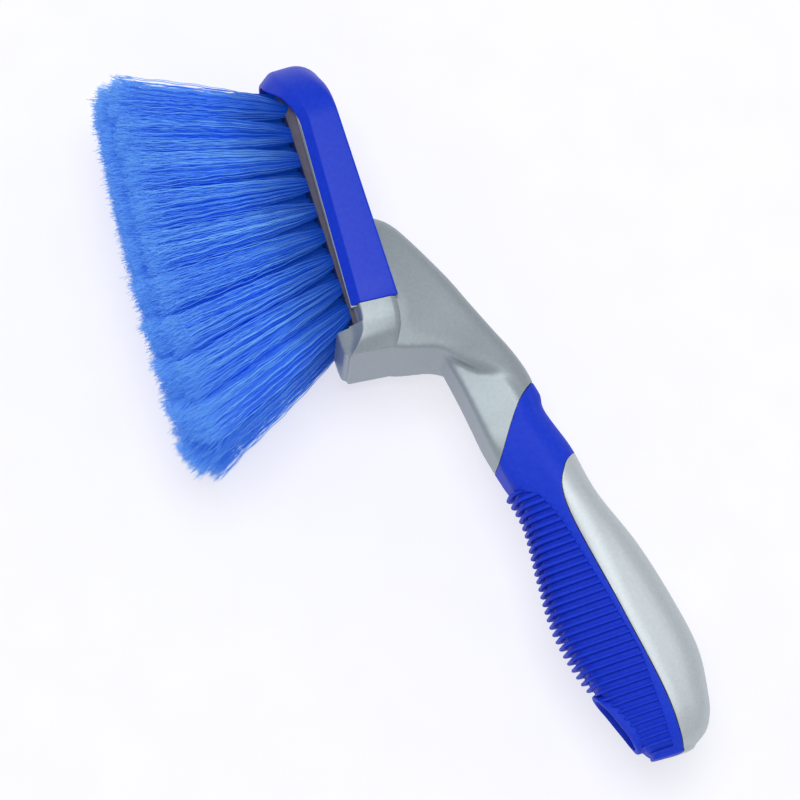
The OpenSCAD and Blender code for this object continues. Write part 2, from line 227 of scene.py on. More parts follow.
# Rounded crest of a rib: share of its thickness, and drop below the crest
RIB_CREST = [(-0.5, 0.5), (-0.3, 0.13), (0.0, 0.0), (0.3, 0.13), (0.5, 0.5)]

HANG_Y = -154.5
HANG_REACH = 3.5
HANG_R = 7.0
HANG_STOPS = 25
HANG_SPAN = (30.0, 100.0)
LINER_WALL = 1.5
RIM_WALL = 1.8
RIM_SINK = 0.1
RIM_LIFT = 2.4
RIM_NARROW = 1.0

# ---------------------------------------------------------------- sizes of the tufts

FIRST_TUFT = 15.6
TUFT_PITCH = 9.86
ROW_PITCH = 9.8
# Rows across the brush: place from the middle, tufts, and shift along the head in pitches
ROWS = [(-2, 9, 0.0), (-1, 9, 0.5), (0, 10, 0.0), (1, 9, 0.5), (2, 9, 0.0)]
FLANK_TOP = FIRST_TUFT + 8 * TUFT_PITCH
HOLE_R = 2.5
HOLE_DEPTH = 9.0
HOLE_SPARE = 3.0
HOLE_CORNERS = 24
# Lean of the tufts in degrees: towards the round end, towards the handle, and sideways per mm off the middle
LEAN_ROUND = 17.5
LEAN_HANDLE = 24.0
LEAN_SIDE = 0.65
# A row that reaches further round the end than the outer rows leans less, by this much per mm
LEAN_FALL = 0.6
LEAN_POWER = 1.15
# The tips lie on a crowned face, which falls away from its middle along and across the head
FREE_LENGTH = 71.8
CROWN_Y = 15.0
CROWN_SPAN = (100.0, 42.0)
CROWN_FALL = (5.5, 9.0)

FILAMENTS = 170
FILAMENT_R = 0.17
FILAMENT_RINGS = 24
FILAMENT_END = 0.95
FILAMENT_TAPER = 0.3
TAPER_POWER = 6
TUBE_CORNERS = 3
GOLDEN_ANGLE = math.pi * (3 - math.sqrt(5))
ANGLE_SCATTER = 0.3
# Half widths of a fanned tuft at its tips, along and across the head
FAN_R = (7.8, 9.2)
FAN_POWER = 0.55
FAN_SPREAD = (0.82, 1.04)
TIP_SCATTER = 0.4
TIP_SHORT = 0.9
BURIED = 2.0
CRIMP = 0.42
CRIMP_WAY = np.array([0.8, 0.6])
CRIMP_WAVE = (11.0, 14.0)
CRIMP_PHASE = 0.45
SWING = 0.5
FLAGS = 3
FLAG_R = 0.08
FLAG_RINGS = 6
FLAG_START = (0.82, 0.94)
FLAG_SPREAD = 0.95
FLAG_POWER = 1.5
FLAG_CURL = 0.35
FLAG_TURNS = 5.0
SEED = 7

block_low, block_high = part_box("tuft_block")
ORIGIN = np.array([
    block_low.x,
    block_low.y - BLOCK_START * MM,
    (block_low.z + block_high.z) / 2,
])


# ---------------------------------------------------------------- general tools

def placed(points):
    """Design millimetres to metres in the row's frame."""
    return np.asarray(points, float) * MM + ORIGIN


def new_object(name, points, faces):
    """An object from points in design millimetres and lists of face corners."""
    mesh = bpy.data.meshes.new(name)
    mesh.from_pydata(placed(points).tolist(), [], faces)
    mesh.validate()
    obj = bpy.data.objects.new(name, mesh)
    bpy.context.scene.collection.objects.link(obj)
    return obj


def fast_object(name, points, quads, values):
    """An object from arrays of points and four-cornered faces, with one value per point for each name."""
    mesh = bpy.data.meshes.new(name)
    mesh.vertices.add(len(points))
    mesh.vertices.foreach_set("co", placed(points).astype(np.float32).ravel())
    mesh.loops.add(quads.size)
    mesh.loops.foreach_set("vertex_index", quads.astype(np.int32).ravel())
    mesh.polygons.add(len(quads))
    mesh.polygons.foreach_set("loop_start", np.arange(0, quads.size, 4, dtype=np.int32))
    mesh.polygons.foreach_set("use_smooth", np.ones(len(quads), bool))
    for key, column in values.items():
        attribute = mesh.attributes.new(key, "FLOAT", "POINT")
        attribute.data.foreach_set("value", column.astype(np.float32))
    mesh.update(calc_edges=True)
    obj = bpy.data.objects.new(name, mesh)
    bpy.context.scene.collection.objects.link(obj)
    return obj


def mix(a, b, w):
    """From a at w = 0 to b at w = 1."""
    return a + (b - a) * w


def limited(v):
    """v kept between 0 and 1."""
    return max(0.0, min(1.0, v))


def catmull(rows, steps):
    """Smooth curve through rows of numbers."""
    p = np.asarray(rows, float)
    padded = np.vstack([p[:1], p, p[-1:]])
    out = []
    for i in range(len(p) - 1):
        a, b, c, d = padded[i:i + 4]
        slope = c - a
        bend = 2 * a - 5 * b + 4 * c - d
        rest = 3 * b - a - 3 * c + d
        for k in range(steps):
            t = k / steps
            out.append(0.5 * (2 * b + slope * t + bend * t ** 2 + rest * t ** 3))
    out.append(p[-1])
    return np.array(out)


def rounded(corners, radii, arc_steps=6, edge_steps=3):
    """Open outline whose inner corners are arcs of the given radii."""
    p = np.asarray(corners, float)
    arcs = []
    for i in range(1, len(p) - 1):
        into = p[i] - p[i - 1]
        out = p[i + 1] - p[i]
        in_len = np.linalg.norm(into)
        out_len = np.linalg.norm(out)
        into = into / in_len
        out = out / out_len
        turn = math.atan2(into[0] * out[1] - into[1] * out[0], into @ out)
        tangent = min(radii[i - 1] * math.tan(abs(turn) / 2), ARC_SHARE * in_len, ARC_SHARE * out_len)
        radius = tangent / math.tan(abs(turn) / 2)
        side = math.copysign(1, turn) * np.array([-into[1], into[0]])
        begin = p[i] - into * tangent
        angles = np.linspace(0, abs(turn), arc_steps + 1)
        arc = begin + radius * (np.outer(np.sin(angles), into) + np.outer(1 - np.cos(angles), side))
        arcs.append(arc)
    stops = [p[0][None]] + arcs + [p[-1][None]]
    points = [p[0]]
    for before, after in zip(stops, stops[1:]):
        for k in range(1, edge_steps + 1):
            points.append(before[-1] + (after[0] - before[-1]) * k / edge_steps)
        points.extend(after[1:])
    return np.array(points)


def ring(station):
    """Closed outline of one station, which is a row like those of HANDLE."""
    bx, by, ux, uy, strip, side_h, side_w, crown, r_under, r_side, r_crown = station
    under = np.array([ux, uy])
    span = np.array([bx, by]) - under
    length = np.linalg.norm(span)
    half = rounded(
        [[0, 0], [0, strip], [side_h * length, side_w], [length, crown], [length, 0]],
        [r_under, r_side, r_crown],
    )
    both = np.vstack([half, half[-2:0:-1] * [1, -1]])
    xy = under + np.outer(both[:, 0] / length, span)
    return np.column_stack([xy, both[:, 1]])


def loft_rings(stations, steps):
    """Outlines of a smooth loft through the stations."""
    return np.array([ring(s) for s in catmull(stations, steps)])


def dome(rings, bulge, count=4):
    """Rings that close the end of a loft with rounded edges."""
    last = rings[-1]
    centre = last.mean(0)
    push = centre - rings[-2].mean(0)
    push = push / np.linalg.norm(push)
    extra = []
    for k in range(1, count + 1):
        angle = math.pi / 2 * k / count
        spread = last - centre
        size = np.linalg.norm(spread, axis=1, keepdims=True)
        shrink = 1 - bulge * (1 - math.cos(angle)) / np.maximum(size, bulge)
        extra.append(centre + spread * shrink + push * bulge * math.sin(angle))
    return np.concatenate([rings, np.array(extra)])


def skin(name, rings):
    """Closed solid over rings of equal length."""
    m, n = rings.shape[:2]
    faces = []
    for i in range(m - 1):
        for k in range(n):
            k2 = (k + 1) % n
            faces.append((i * n + k, (i + 1) * n + k, (i + 1) * n + k2, i * n + k2))
    faces.append(tuple(range(n)))
    faces.append(tuple(reversed(range((m - 1) * n, m * n))))
    obj = new_object(name, rings.reshape(-1, 3), faces)
    outward(obj)
    return obj


def outward(obj):
    """Turns all the faces of a closed solid outwards."""
    bm = bmesh.new()
    bm.from_mesh(obj.data)
    bmesh.ops.recalc_face_normals(bm, faces=bm.faces)
    bm.to_mesh(obj.data)
    bm.free()


def prism(name, outline, low, high):
    """Outline in x and y, made solid between two z values."""
    pts = np.asarray(outline, float)
    n = len(pts)
    points = np.vstack([
        np.column_stack([pts, np.full(n, low)]),
        np.column_stack([pts, np.full(n, high)]),
    ])
    faces = [(k, (k + 1) % n, n + (k + 1) % n, n + k) for k in range(n)]
    faces.append(tuple(reversed(range(n))))
    faces.append(tuple(range(n, 2 * n)))
    obj = new_object(name, points, faces)
    outward(obj)
    return obj


def combine(obj, other, operation):
    """Boolean of two solids, left in obj."""
    modifier = obj.modifiers.new("combine", "BOOLEAN")
    modifier.operation = operation
    modifier.solver = "EXACT"
    modifier.object = other
    bpy.context.view_layer.update()
    made = bpy.data.meshes.new_from_object(obj.evaluated_get(bpy.context.evaluated_depsgraph_get()))
    obj.modifiers.clear()
    obj.data = made
    bpy.data.objects.remove(other)
    return obj


def join(obj, others):
    """Puts the other meshes into obj as they are."""
    bm = bmesh.new()
    bm.from_mesh(obj.data)
    for other in others:
        bm.from_mesh(other.data)
        bpy.data.objects.remove(other)
    bm.to_mesh(obj.data)
    bm.free()


def blended(obj, voxel, passes):
    """One even skin over joined solids, smoothed so that they run into one another."""
    remesh = obj.modifiers.new("remesh", "REMESH")
    remesh.mode = "VOXEL"
    remesh.voxel_size = voxel * MM
    smooth = obj.modifiers.new("smooth", "SMOOTH")
    smooth.factor = 0.5
    smooth.iterations = passes
    bpy.context.view_layer.update()
    made = bpy.data.meshes.new_from_object(obj.evaluated_get(bpy.context.evaluated_depsgraph_get()))
    obj.modifiers.clear()
    obj.data = made
    return obj


def soften(obj, width):
    """Cleans a solid and rounds its sharp edges by width, or leaves them square where width is 0."""
    bm = bmesh.new()
    bm.from_mesh(obj.data)
    bmesh.ops.remove_doubles(bm, verts=bm.verts, dist=WELD * MM)
    bmesh.ops.dissolve_degenerate(bm, edges=bm.edges, dist=SLIVER * MM)
    if width:
        limit = math.radians(SHARP_ANGLE)
        sharp = [e for e in bm.edges if len(e.link_faces) == 2 and e.calc_face_angle(0) > limit]
        bmesh.ops.bevel(bm, geom=sharp, offset=width * MM, segments=EDGE_SEGMENTS, affect="EDGES",
                        profile=0.5, clamp_overlap=True)
    bm.to_mesh(obj.data)
    bm.free()
    shade(obj)


def shade(obj):
    """Smooth shading, with the sharper edges kept."""
    obj.data.shade_smooth()
    obj.data.set_sharp_from_angle(angle=math.radians(SHARP_ANGLE))


def finish_piece(obj, nodes, material):
    """Gives a piece its material, hangs it on the root body, and hides the CAD parts that it takes the place
    of.
    """
    obj.data.materials.clear()
    obj.data.materials.append(material)
    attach(obj, "root")
    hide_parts(*nodes)


# ---------------------------------------------------------------- handle and neck

def inset(stations, depth):
    """Handle stations drawn in all round."""
    out = []
    for s in stations:
        under = np.array(s[2:4])
        span = np.array(s[0:2]) - under
        step = depth * span / np.linalg.norm(span)
        back = np.array(s[0:2]) - step
        low = under + step
        widths = [s[4] - depth, s[5], s[6] - depth, s[7] - depth * CROWN_INSET]
        out.append([*back, *low, *widths, *[max(r - depth, 1.0) for r in s[8:]]])
    return out


def region(outline):
    """Solid right across the brush, from an outline seen from the side."""
    return prism("region", outline, -HEAD_R - CLEAR_SIDE, HEAD_R + CLEAR_SIDE)


def beyond(y):
    """Everything from y to the handle's end."""
    return region([[CLEAR_UNDER, y], [CLEAR_BACK, y], [CLEAR_BACK, CLEAR_END], [CLEAR_UNDER, CLEAR_END]])


def grip_region(gap):
    """Region of the soft grip, drawn in by gap along its two visible edges."""
    collar = catmull(COLLAR_EDGE, LOFT_STEPS) + [0, -gap]
    cover = catmull(COVER_EDGE, COVER_STEPS)[::-1] + [-gap, -gap * COVER_SLANT]
    below = [[CLEAR_UNDER, GRIP_START], [CLEAR_UNDER, GRIP_END], [COVER_EDGE[-1][0] - gap, GRIP_END]]
    return region([*collar, *below, *cover, *COLLAR_BACK])


def rib_region(end):
    """Region of the ribs, as far as y = end on the underside."""
    return region([*RIB_EDGE, [CLEAR_UNDER, end], [CLEAR_UNDER, RIB_EDGE[0][1]]])


def handle_core():
    """Hard core inside the soft grip and the back cover."""
    return skin("core", loft_rings(inset(HANDLE[:-CORE_SHORT], GRIP_SKIN), CORE_STEPS))


def handle_outer(name="outer"):
    """The whole outside of the handle, over which the cover and the grip are cut."""
    return skin(name, dome(loft_rings(HANDLE, LOFT_STEPS), HANDLE_ROUND, 3))


def hang_slot(grow):
    """Solid in the shape of the hang hole, right through the handle's end."""
    angles = np.linspace(-math.pi / 2, math.pi / 2, HANG_STOPS)
    r = HANG_R + grow
    half = np.column_stack([HANG_REACH + r * np.cos(angles), r * np.sin(angles)])
    outline = np.vstack([half, -half])
    yz = outline + [HANG_Y, 0]
    return skin("slot", np.array([np.column_stack([np.full(len(yz), x), yz]) for x in HANG_SPAN]))


def end_outline(x_nose, x_front, x_back, half):
    """One level of the hard end: the nose, the scoop beside it, the side panel, and the panel's back edge."""
    scoop = [(x_nose + x_front) / 2 + SCOOP, (NOSE_HALF + half) / 2 - SCOOP]
    nose = [[x_nose, 0], [x_nose, NOSE_HALF], scoop]
    panel = [[x_front, half], [x_back + PANEL_BACK[0], half], [x_back + PANEL_BACK[1], half - PANEL_IN]]
    back = [[HEAD_BACK, half - PANEL_IN], [HEAD_BACK, 0]]
    outline = rounded(nose + panel + back, END_CORNERS)
    return np.vstack([outline, outline[-2:0:-1] * [1, -1]])


def head_end():
    """Hard end of the head: a side panel on each side, scooped in towards the nose in front of it."""
    rows = catmull(END_LEVELS, END_STEPS)
    upper = [row for row in rows if row[0] < NOSE_TOP]
    lower = [row for row in rows if row[0] >= NOSE_TOP]
    ledge = lower[0] + [0, NOSE_LEDGE, NOSE_LEDGE, 0, 0, 0]
    nose = np.array(NOSE_WALL)
    levels = [(row, NOSE_ROOT) for row in [*upper, ledge]]
    levels += [(row, np.interp(row[0], nose[:, 0], nose[:, 1])) for row in lower]
    rings = []
    for (_, y_nose, y_back, x_front, x_back, half), x_nose in levels:
        outline = end_outline(x_nose, x_front, x_back, half)
        y = mix(y_nose, y_back, (outline[:, 0] - NOSE_X) / (HEAD_BACK - NOSE_X))
        rings.append(np.column_stack([outline[:, 0], y, outline[:, 1]]))
    return skin("end", dome(np.array(rings), END_EDGE, 3))


def roundness(angle):
    """0 on the flat sides and 1 round the end of the head."""
    t = limited((90 - abs(angle)) / ROUND_BLEND)
    return t * t * (3 - 2 * t)


def d_outline(radii, start, angles):
    """Outline of the head in y and z, with a radius for each angle: square at the start, then round."""
    a = np.radians(angles)
    arc = np.column_stack([HEAD_STRAIGHT + radii * np.cos(a), radii * np.sin(a)])
    return np.vstack([[start, -radii[0]], arc, [start, radii[-1]]])


def wall(w):
    """x and radius of the tray's wall, from the flat sides (w = 0) to the round end (w = 1)."""
    return mix(WALL_FLAT, WALL_ROUND, w)


def flank_share(y):
    """0 at the bumper's square end and 1 where the round end starts."""
    return (y - BUMPER_END) / (HEAD_STRAIGHT - BUMPER_END)


def shell():
    """Tray of the head. Round the end its back corner draws in under the bumper."""
    angles = np.linspace(-90, 90, TRAY_STOPS)
    levels = [(RIM_X + below, drawn) for below, drawn in RIM_EDGE]
    levels += [(x, 0.0) for x in TRAY_LEVELS]
    levels += [(HEAD_BACK - BACK_EDGE, 0.0), (HEAD_BACK, BACK_EDGE)]
    rings = []
    for x, drawn in levels:
        radii = []
        for angle in angles:
            wall_x, wall_r = wall(roundness(angle)).T
            radii.append(np.interp(x, wall_x, wall_r) - drawn - SHELL_GAP)
        yz = d_outline(np.array(radii), SHELL_START - END_SLOPE * x, angles)
        follow = limited((FOLLOW_END - x) / FOLLOW_SPAN)
        lip = mix(LIP_START, LIP_END, flank_share(yz[:, 0]))
        rise = np.minimum(lip - LIP_COVER - RIM_X, RIM_RISE)
        ring_x = x + np.where(yz[:, 0] <= HEAD_STRAIGHT + 1, rise, 0.0) * follow
        rings.append(np.column_stack([ring_x, yz]))
    return skin("handle_body_moulding", np.array(rings))


def d_plate(name, levels, start):
    """Plate in the head's outline through levels of x and radius."""
    angles = np.linspace(-90, 90, BLOCK_STOPS)
    rings = []
    for x, radius in levels:
        yz = d_outline(np.full(len(angles), radius), start, angles)
        rings.append(np.column_stack([np.full(len(yz), x), yz]))
    return skin(name, np.array(rings))


def block_opening():
    """Room in the tray for the tuft block, open towards the bristles."""
    levels = [(-HEAD_R, BLOCK_R + BLOCK_GAP), (BLOCK_DEPTH + BLOCK_GAP, BLOCK_R + BLOCK_GAP)]
    return d_plate("opening", levels, BLOCK_START - BLOCK_GAP)


def handle_body():
    """Hard moulding: the tray with its hard end, the blended cowl and stem, and the core of the grip."""
    body = shell()
    combine(body, head_end(), "UNION")
    combine(body, block_opening(), "DIFFERENCE")
    neck = skin("cowl", dome(loft_rings(COWL, LOFT_STEPS), COWL_ROUND))
    combine(neck, handle_outer(), "UNION")
    combine(neck, beyond(NECK_CUT), "DIFFERENCE")
    blended(neck, NECK_VOXEL, NECK_PASSES)
    combine(neck, grip_region(-PARTING), "DIFFERENCE")
    combine(neck, beyond(NECK_END), "DIFFERENCE")
    combine(body, neck, "UNION")
    combine(body, handle_core(), "UNION")
    combine(body, hang_slot(LINER_WALL), "DIFFERENCE")
    return body


def back_cover():
    """Hard panel along the back of the handle, outside the core and beside the soft grip."""
    body = handle_outer("back_cover_panel")
    combine(body, beyond(COVER_START), "INTERSECT")
    combine(body, grip_region(-PARTING), "DIFFERENCE")
    combine(body, handle_core(), "DIFFERENCE")
    combine(body, hang_slot(LINER_WALL), "DIFFERENCE")
    return body


# ---------------------------------------------------------------- grip

def crossing(rings, y):
    """Points where a loft's lengthwise lines cross the plane of that y."""
    points = []
    for k in range(rings.shape[1]):
        line = rings[:, k]
        x, along, z = line[np.argsort(line[:, 1])].T
        points.append([np.interp(y, along, x), y, np.interp(y, along, z)])
    return np.array(points)


def rib(y, base_rings, crest_rings, thick):
    """One grip rib in the plane of that y: its section is a slab with a rounded crest."""
    base = crossing(base_rings, y)
    crest = crossing(crest_rings, y)
    edge = np.array(RIB_EDGE)[::-1]
    limit = np.interp(y, edge[:, 1], edge[:, 0])
    n = len(base)
    order = [k % n for k in range(-n // 2, n // 2 + 1)]
    chosen = [k for k in order if crest[k][0] < limit + RIB_SPARE]
    rise = crest[chosen] - base[chosen]
    height = np.linalg.norm(rise, axis=1, keepdims=True)
    outwards = rise / np.maximum(height, 1e-6)
    roots = base[chosen] - outwards * RIB_ROOT
    rings = []
    for root, top, way in zip(roots, crest[chosen], outwards):
        rounding = [top - way * drop + [0, share * thick, 0] for share, drop in RIB_CREST]
        rings.append([root + [0, -thick / 2, 0], *rounding, root + [0, thick / 2, 0]])
    return skin("rib", np.array(rings))


def rib_floor():
    """Handle stations drawn in at the sides to the foot of the ribs, but not on the underside."""
    drawn = inset(HANDLE, FIELD_DEPTH)
    return [[*s[:2], h[2], h[3], *s[4:]] for s, h in zip(drawn, HANDLE)]


def rib_crests():
    """Handle stations swollen by the height of the ribs."""
    along, heights = np.transpose(RIB_HEIGHTS)
    strip_swell, side_swell, corner_swell = RIB_SWELL
    out = []
    for bx, by, ux, uy, strip, side_h, side_w, crown, r_under, *others in HANDLE:
        crest_x = ux - np.interp(-uy, along, heights)
        widths = [strip + strip_swell, side_h, side_w + side_swell, crown]
        out.append([bx, by, crest_x, uy, *widths, r_under + corner_swell, *others])
    return out


def rib_comb():
    """All the ribs, without the hang hole's rim and cut to the ribs' edge."""
    floor_rings = loft_rings(rib_floor(), LOFT_STEPS)
    crest_rings = loft_rings(rib_crests(), LOFT_STEPS)
    ribs = []
    for i in range(RIB_COUNT):
        thick = mix(*RIB_THICK, i / (RIB_COUNT - 1))
        ribs.append(rib(RIB_START - i * RIB_PITCH, floor_rings, crest_rings, thick))
    comb = ribs[0]
    join(comb, ribs[1:])
    combine(comb, hang_slot(RIM_WALL - RIM_SINK), "DIFFERENCE")
    combine(comb, rib_region(RIB_END), "INTERSECT")
    return comb


def rib_field():
    """What is cut away between the ribs: everything outside the drawn-in grip, within the ribs' edge."""
    field = rib_region(FIELD_END)
    combine(field, skin("floor", loft_rings(rib_floor(), TOOL_STEPS)), "DIFFERENCE")
    return field


def hang_rim():
    """Raised rim round the mouth of the hang hole."""
    rim = hang_slot(RIM_WALL)
    raised = [[*s[:2], s[2] - RIM_LIFT, s[3], s[4] - RIM_NARROW, *s[5:]] for s in HANDLE]
    combine(rim, skin("raised", loft_rings(raised, TOOL_STEPS)), "INTERSECT")
    combine(rim, grip_region(PARTING), "INTERSECT")
    return rim


def hang_liner():
    """Soft wall of the hang hole, right through the handle."""
    liner = hang_slot(LINER_WALL - PARTING)
    combine(liner, handle_outer(), "INTERSECT")
    return liner


def grip_sleeve():
    """Soft grip over the core, with its ribs, and the rim and liner of the hang hole."""
    body = handle_outer("grip_sleeve_rubber")
    combine(body, grip_region(PARTING), "INTERSECT")
    combine(body, rib_field(), "DIFFERENCE")
    combine(body, hang_rim(), "UNION")
    combine(body, handle_core(), "DIFFERENCE")
    combine(body, hang_liner(), "UNION")
    combine(body, hang_slot(0.0), "DIFFERENCE")
    soften(body, EDGE_ROUND)
    join(body, [rib_comb()])
    return body


# ---------------------------------------------------------------- head

def bumper_section(lip, w):
    """Cross-section of the bumper as distance from the middle plane and x. Round the end it reaches in over
    the shell's rim and wraps over the shell's back corner."""
    (start_x, start_r), (middle_x, middle_r), (end_x, end_r) = wall(w)
    over = limited((w - OVER_START) / OVER_SPAN)
    inner = SHELL_R - OVER_REACH * over
    side_r = HEAD_R - ROUND_INSET * w
    rim = RIM_X - RIM_TUCK
    lining = [[start_r, start_x], [SHELL_R, max(lip + LIP_STEP + LIP_RUN, rim)],
              [inner + LIP_DRAFT, mix(lip + LIP_STEP, rim, over)]]
    face = [[inner + RIM_TUCK, lip], [inner + mix(*LIP_WIDTH, w), lip],
            [side_r, lip + mix(*CHAMFER_DEPTH, w)], [side_r, CHAMFER_END]]
    front = rounded(lining + face, [*LINING_CORNERS, mix(*LIP_CORNER, w), mix(*CHAMFER_CORNER, w)])
    back_r = mix(*BACK_CORNER, w)
    turn = np.radians(np.linspace(0, 90, CORNER_STOPS))
    centre = np.array([side_r - back_r, HEAD_BACK - back_r])
    corner = centre + back_r * np.column_stack([np.cos(turn), np.sin(turn)])
    back = [[end_r + LIP_RUN, HEAD_BACK], [end_r, HEAD_BACK - LIP_RUN], [end_r, end_x], [middle_r, middle_x]]
    return np.vstack([front, corner, back])


def head_bumper():
    """Soft band round the head: its section follows both sides and the round end."""
    stops = [(90, BUMPER_END, shrink, shift) for shift, shrink in BUMPER_ROUND]
    stops += [(90, y, 0.0, 0.0) for y in np.linspace(BUMPER_END, HEAD_STRAIGHT, STRAIGHT_RINGS)[1:-1]]
    stops += [(angle, HEAD_STRAIGHT, 0.0, 0.0) for angle in np.linspace(90, 0, ROUND_RINGS)]
    stops += [(-angle, *rest) for angle, *rest in stops[-2::-1]]
    rings = []
    for angle, y, shrink, shift in stops:
        w = roundness(angle)
        along = flank_share(y)
        section = bumper_section(mix(mix(LIP_START, LIP_END, along), LIP_TIP, w), w)
        section = section + (section.mean(0) - section) * shrink
        a = math.radians(angle)
        slope = END_SLOPE * (1 - along) * section[:, 1]
        ys = y + shift - slope + section[:, 0] * math.cos(a)
        rings.append(np.column_stack([section[:, 1], ys, section[:, 0] * math.sin(a)]))
    return skin("head_bumper_band", np.array(rings))


def tuft_places():
    """y, z and the y of the last tuft in the same row, for each tuft."""
    out = []
    for row, count, shift in ROWS:
        along = [FIRST_TUFT + (i + shift) * TUFT_PITCH for i in range(count)]
        out += [(y, row * ROW_PITCH, along[-1]) for y in along]
    return out


def leans(place):
    """Lean of a tuft along and across the head, in radians."""
    y, z, row_top = place
    most = LEAN_ROUND - LEAN_FALL * (row_top - FLANK_TOP)
    share = (row_top - y) / (row_top - FIRST_TUFT)
    return math.radians((most + LEAN_HANDLE) * share ** LEAN_POWER - most), math.radians(z * LEAN_SIDE)


def direction(place):
    """The way that a tuft points."""
    a, b = leans(place)
    return np.array([-math.cos(b) * math.cos(a), -math.cos(b) * math.sin(a), math.sin(b)])


def across(way):
    """Two directions square to a tuft and to each other."""
    side = np.cross(way, [0, 0, 1.0])
    side /= np.linalg.norm(side)
    return side, np.cross(way, side)


def tip_depth(y, z):
    """Distance from the tuft face to the crowned face of the tips."""
    along = CROWN_FALL[0] * ((y - CROWN_Y) / CROWN_SPAN[0]) ** 2
    return FREE_LENGTH - along - CROWN_FALL[1] * (z / CROWN_SPAN[1]) ** 2


def tuft_hole(place):
    """Blind hole for one tuft, along the way that it points."""
    way = direction(place)
    side, other = across(way)
    centre = np.array([0.0, place[0], place[1]])
    angles = np.arange(HOLE_CORNERS) * math.tau / HOLE_CORNERS
    circle = HOLE_R * (np.outer(np.cos(angles), side) + np.outer(np.sin(angles), other))
    return skin("hole", np.array([centre + way * depth + circle for depth in (-HOLE_DEPTH, HOLE_SPARE)]))


def tuft_block():
    """Plate that fills the tray, drilled with a blind hole for each tuft."""
    levels = [(0.0, BLOCK_R - BLOCK_CHAMFER), (CHAMFER_LEVEL, BLOCK_R), (BLOCK_DEPTH, BLOCK_R)]
    body = d_plate("tuft_block_plate", levels, BLOCK_START)
    cutter, *others = [tuft_hole(place) for place in tuft_places()]
    join(cutter, others)
    combine(body, cutter, "DIFFERENCE")
    return body


# ---------------------------------------------------------------- bristles

def tubes(centre, radius, side, other):
    """Thin tubes along rows of centre points, with their four-cornered faces."""
    n, m = centre.shape[:2]
    corners = np.arange(TUBE_CORNERS) * math.tau / TUBE_CORNERS
    around = np.outer(np.cos(corners), side) + np.outer(np.sin(corners), other)
    points = centre[:, :, None, :] + radius[None, :, None, None] * around[None, None]
    index = np.arange(n * m * TUBE_CORNERS).reshape(n, m, TUBE_CORNERS)
    turned = np.roll(index, -1, 2)
    quads = np.stack([index[:, :-1], turned[:, :-1], turned[:, 1:], index[:, 1:]], axis=-1)
    return points.reshape(-1, 3), quads.reshape(-1, 4)


def tuft(number, place, rng):
    """One bundle of crimped filaments that fan out to the crowned tip face, where they split into flags."""
    way = direction(place)
    side, other = across(way)
    base = np.array([0.0, place[0], place[1]])
    n = FILAMENTS
    k = np.arange(n)
    radius = np.sqrt((k + 0.5) / n)
    angle = k * GOLDEN_ANGLE + rng.uniform(0, ANGLE_SCATTER, n)
    disc = np.column_stack([radius * np.cos(angle), radius * np.sin(angle)])
    tips = disc * np.array(FAN_R) * rng.uniform(*FAN_SPREAD, (n, 1)) + rng.normal(0, TIP_SCATTER, (n, 2))
    roots = disc * (HOLE_R - FILAMENT_R)
    a, b = leans(place)
    tip_y = place[0] - FREE_LENGTH * math.tan(a)
    tip_z = place[1] + FREE_LENGTH * math.tan(b)
    length = tip_depth(tip_y, tip_z) / (math.cos(a) * math.cos(b))
    lengths = length + rng.normal(-TIP_SHORT, TIP_SCATTER, n)
    phase = rng.uniform(0, math.tau) + rng.normal(0, CRIMP_PHASE, n)
    wave = rng.uniform(*CRIMP_WAVE, n)
    swing = rng.normal(0, SWING, (n, 2))

    def centre_line(s, rows):
        """Points at the shares s of those filaments, from inside the hole to the tips."""
        along = -BURIED + (lengths[rows, None] + BURIED) * s
        fan = np.clip(along / lengths[rows, None], 0, 1)[..., None] ** FAN_POWER
        off = roots[rows, None] * (1 - fan) + tips[rows, None] * fan
        off = off + np.sin(s * math.pi)[..., None] * swing[rows, None]
        crimp = CRIMP * np.sin(along * math.tau / wave[rows, None] + phase[rows, None]) * fan[..., 0]
        off = off + crimp[..., None] * CRIMP_WAY
        return base + along[..., None] * way + off[..., :1] * side + off[..., 1:] * other

    s = np.linspace(0, FILAMENT_END, FILAMENT_RINGS)
    thick = FILAMENT_R * (1 - FILAMENT_TAPER * s ** TAPER_POWER)
    points, quads = tubes(centre_line(s[None], k), thick, side, other)
    rows = np.repeat(k, FLAGS)
    t = np.linspace(0, 1, FLAG_RINGS)
    starts = rng.uniform(*FLAG_START, len(rows))
    flag_s = starts[:, None] + (1.0 - starts[:, None]) * t
    spread = rng.normal(0, FLAG_SPREAD, (len(rows), 3))[:, None]
    curl = rng.normal(0, FLAG_CURL, (len(rows), 3))[:, None]
    turns = np.sin(t * FLAG_TURNS)[None, :, None]
    path = centre_line(flag_s, rows) + t[None, :, None] ** FLAG_POWER * spread + turns * curl
    flag_points, flag_quads = tubes(path, np.full(FLAG_RINGS, FLAG_R), side, other)
    tint = rng.uniform(0, 1, n)
    tints = [np.repeat(tint, FILAMENT_RINGS * TUBE_CORNERS), np.repeat(tint[rows], FLAG_RINGS * TUBE_CORNERS)]
    shares = [np.tile(np.repeat(s, TUBE_CORNERS), n), np.repeat(flag_s, TUBE_CORNERS, axis=1).ravel()]
    return fast_object(
        f"tuft_{number:02d}_filaments",
        np.vstack([points, flag_points]),
        np.vstack([quads, flag_quads + len(points)]),
        {"tint": np.concatenate(tints), "along": np.concatenate(shares)},
    )


# ---------------------------------------------------------------- materials

SPECKLE_DETAIL = 6.0
SPECKLE_BAND = (0.3, 0.7)
BRISTLE_DARK = (8, 98, 250)
BRISTLE_LIGHT = (150, 222, 255)
TIP_COLOUR = (130, 196, 255)
TIP_POWER = 6.0
# Painted shade: the filaments darken to this deep blue at their roots, where the tufts shade one another, and
# the shade fades out this share of the way along
ROOT_SHADE_COLOUR = (4, 50, 170)
ROOT_SHADE_REACH = 0.45
# A faint glow stands in for light that passes through the bristles
GLOW_COLOUR = (14, 110, 250)
GLOW = 0.12
